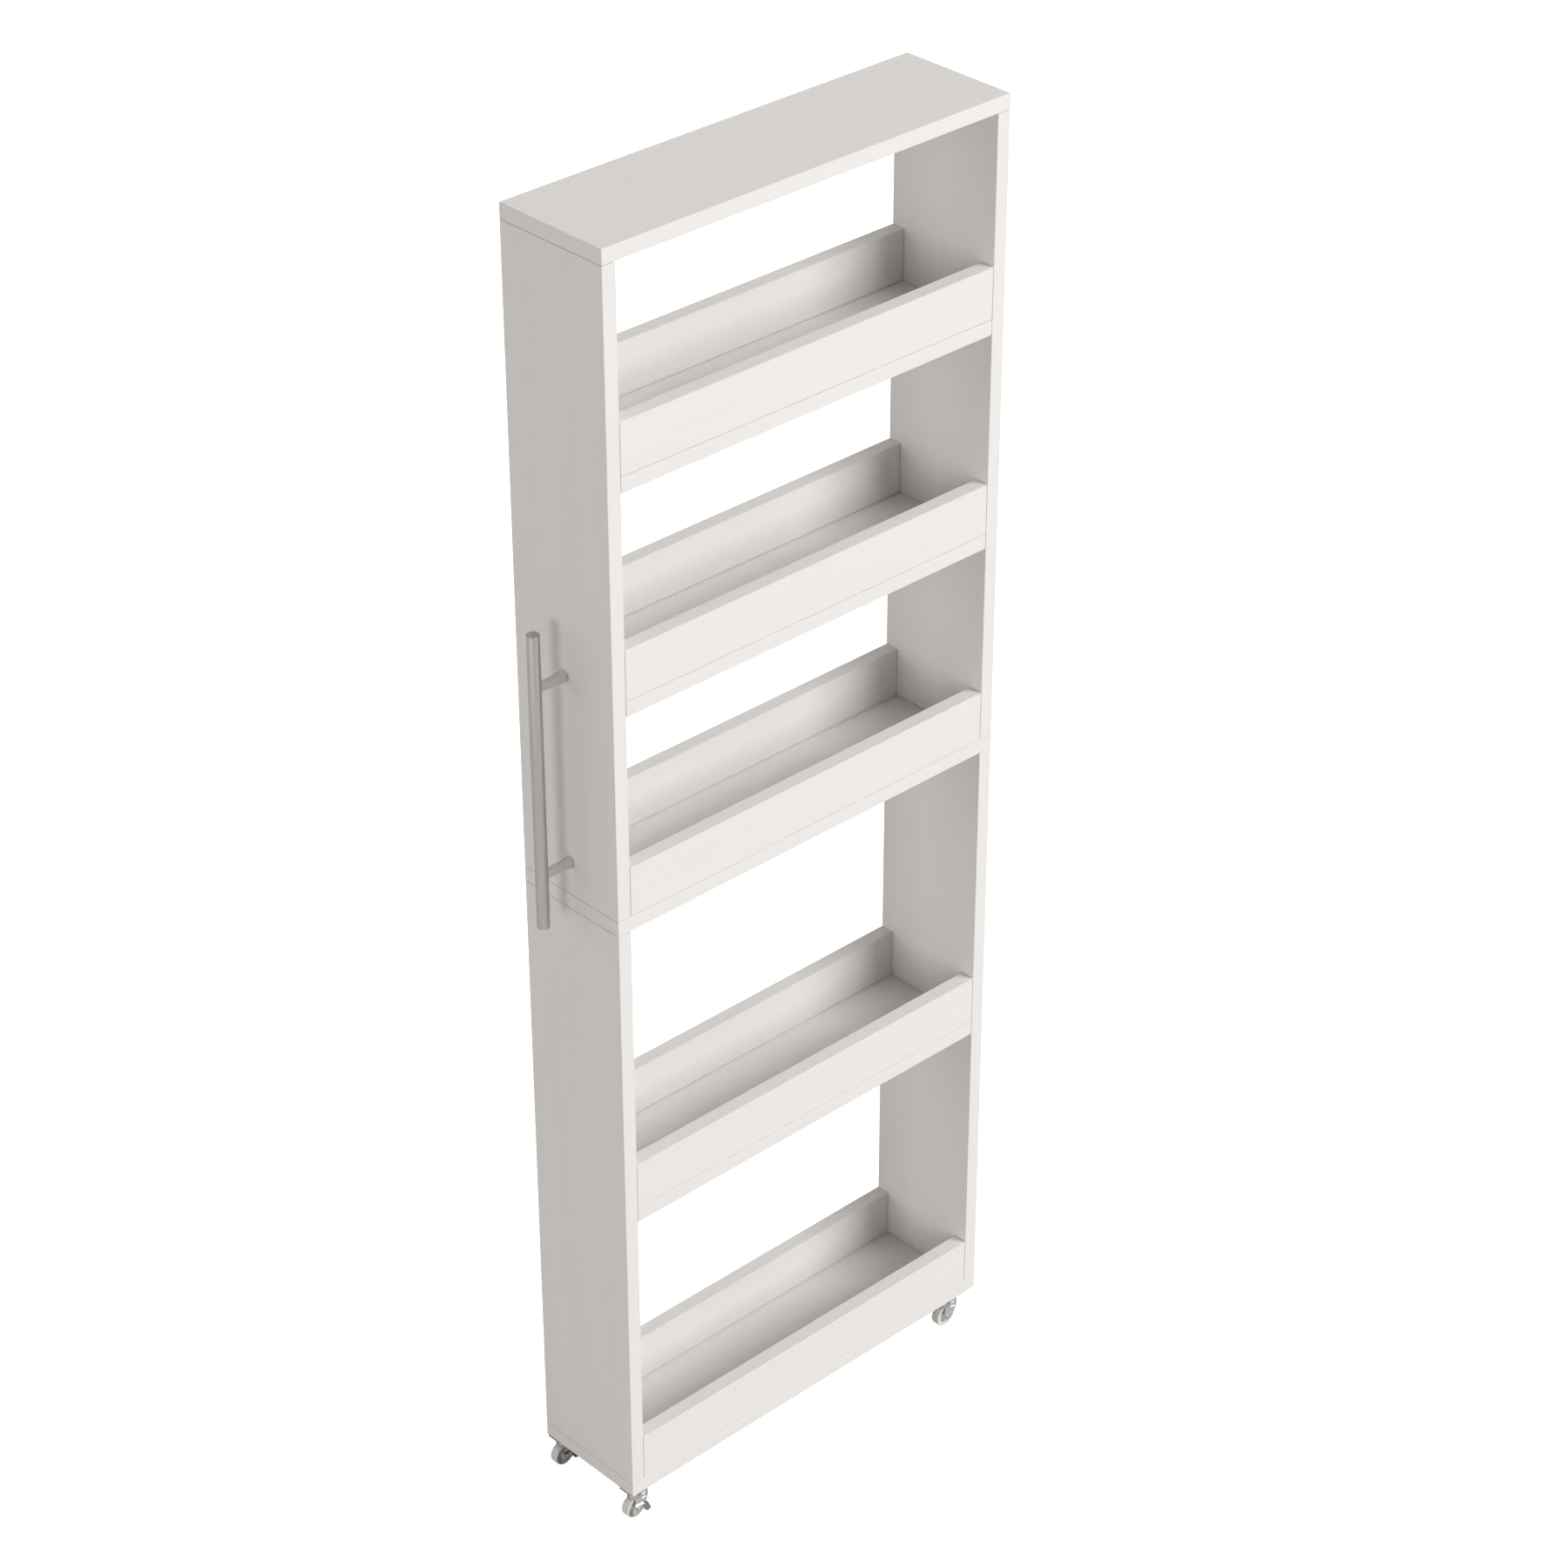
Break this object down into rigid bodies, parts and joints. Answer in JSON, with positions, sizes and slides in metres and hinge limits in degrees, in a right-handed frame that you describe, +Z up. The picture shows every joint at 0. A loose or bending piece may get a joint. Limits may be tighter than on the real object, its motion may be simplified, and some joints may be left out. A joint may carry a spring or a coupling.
{
  "type": "rolling pantry cart",
  "caption": "Slim tall rolling pantry cart of white faced boards, open railed trays on both long sides, vertical steel bar handle on one end, small swivel casters.",
  "frame": {"origin": "on the floor under the middle of the bounding box", "axes": "+X along the cart away from the handle, +Y from the front (pictured) side to the back, +Z up"},
  "size_m": [0.5104, 0.1298, 1.3558],
  "materials": {
    "faced_board": "off-white melamine facing with a faint wood grain, satin",
    "brushed_stainless": "brushed",
    "plated_steel": "bright nickel plate",
    "zinc_steel": "bright zinc plate",
    "ball_steel": "polished",
    "wheel_plastic": "moulded, matte"
  },
  "bodies": {
    "cabinet": {"bottom_board": "faced_board", "middle_board": "faced_board", "top_board": "faced_board", "lower_handle_side_board": "faced_board", "upper_handle_side_board": "faced_board", "lower_far_side_board": "faced_board", "upper_far_side_board": "faced_board", "shelf_1_board": "faced_board", "shelf_2_board": "faced_board", "shelf_4_board": "faced_board", "front_rail_1": "faced_board", "front_rail_2": "faced_board", "front_rail_3": "faced_board", "front_rail_4": "faced_board", "front_rail_5": "faced_board", "back_rail_1": "faced_board", "back_rail_2": "faced_board", "back_rail_3": "faced_board", "back_rail_4": "faced_board", "back_rail_5": "faced_board", "handle_bar": "brushed_stainless", "handle_post_lower": "brushed_stainless", "handle_post_upper": "brushed_stainless", "handle_screw_lower": "zinc_steel", "handle_screw_upper": "zinc_steel", "caster_handle_front_plate": "zinc_steel", "caster_handle_front_ball_ring": "ball_steel", "caster_handle_front_kingpin": "zinc_steel", "caster_handle_back_plate": "zinc_steel", "caster_handle_back_ball_ring": "ball_steel", "caster_handle_back_kingpin": "zinc_steel", "caster_far_front_plate": "zinc_steel", "caster_far_front_ball_ring": "ball_steel", "caster_far_front_kingpin": "zinc_steel", "caster_far_back_plate": "zinc_steel", "caster_far_back_ball_ring": "ball_steel", "caster_far_back_kingpin": "zinc_steel"},
    "caster_handle_front_swivel": {"caster_handle_front_fork": "plated_steel", "caster_handle_front_axle": "zinc_steel"},
    "caster_handle_front_roller": {"caster_handle_front_wheel": "wheel_plastic"},
    "caster_handle_front_brake": {"caster_handle_front_brake_lever": "plated_steel"},
    "caster_handle_back_swivel": {"caster_handle_back_fork": "plated_steel", "caster_handle_back_axle": "zinc_steel"},
    "caster_handle_back_roller": {"caster_handle_back_wheel": "wheel_plastic"},
    "caster_handle_back_brake": {"caster_handle_back_brake_lever": "plated_steel"},
    "caster_far_front_swivel": {"caster_far_front_fork": "plated_steel", "caster_far_front_axle": "zinc_steel"},
    "caster_far_front_roller": {"caster_far_front_wheel": "wheel_plastic"},
    "caster_far_back_swivel": {"caster_far_back_fork": "plated_steel", "caster_far_back_axle": "zinc_steel"},
    "caster_far_back_roller": {"caster_far_back_wheel": "wheel_plastic"}
  },
  "joints": [
    {"name": "caster_handle_front_swivel_turn", "type": "hinge", "parent": "cabinet", "child": "caster_handle_front_swivel", "pos_m": [-0.2008, -0.0521, 0.035], "axis": [0, 0, 1], "continuous": true},
    {"name": "caster_handle_front_wheel_spin", "type": "hinge", "parent": "caster_handle_front_swivel", "child": "caster_handle_front_roller", "pos_m": [-0.2067, -0.0521, 0.0115], "axis": [0, 1, 0], "continuous": true},
    {"name": "caster_handle_front_brake_press", "type": "hinge", "parent": "caster_handle_front_swivel", "child": "caster_handle_front_brake", "pos_m": [-0.2067, -0.0521, 0.0115], "axis": [0, 1, 0], "range_deg": [0, 18]},
    {"name": "caster_handle_back_swivel_turn", "type": "hinge", "parent": "cabinet", "child": "caster_handle_back_swivel", "pos_m": [-0.2008, 0.0541, 0.035], "axis": [0, 0, 1], "continuous": true},
    {"name": "caster_handle_back_wheel_spin", "type": "hinge", "parent": "caster_handle_back_swivel", "child": "caster_handle_back_roller", "pos_m": [-0.2067, 0.0541, 0.0115], "axis": [0, 1, 0], "continuous": true},
    {"name": "caster_handle_back_brake_press", "type": "hinge", "parent": "caster_handle_back_swivel", "child": "caster_handle_back_brake", "pos_m": [-0.2067, 0.0541, 0.0115], "axis": [0, 1, 0], "range_deg": [0, 18]},
    {"name": "caster_far_front_swivel_turn", "type": "hinge", "parent": "cabinet", "child": "caster_far_front_swivel", "pos_m": [0.2263, -0.0521, 0.035], "axis": [0, 0, 1], "continuous": true},
    {"name": "caster_far_front_wheel_spin", "type": "hinge", "parent": "caster_far_front_swivel", "child": "caster_far_front_roller", "pos_m": [0.2204, -0.0521, 0.0115], "axis": [0, 1, 0], "continuous": true},
    {"name": "caster_far_back_swivel_turn", "type": "hinge", "parent": "cabinet", "child": "caster_far_back_swivel", "pos_m": [0.2263, 0.0541, 0.035], "axis": [0, 0, 1], "continuous": true},
    {"name": "caster_far_back_wheel_spin", "type": "hinge", "parent": "caster_far_back_swivel", "child": "caster_far_back_roller", "pos_m": [0.2204, 0.0541, 0.0115], "axis": [0, 1, 0], "continuous": true}
  ]
}
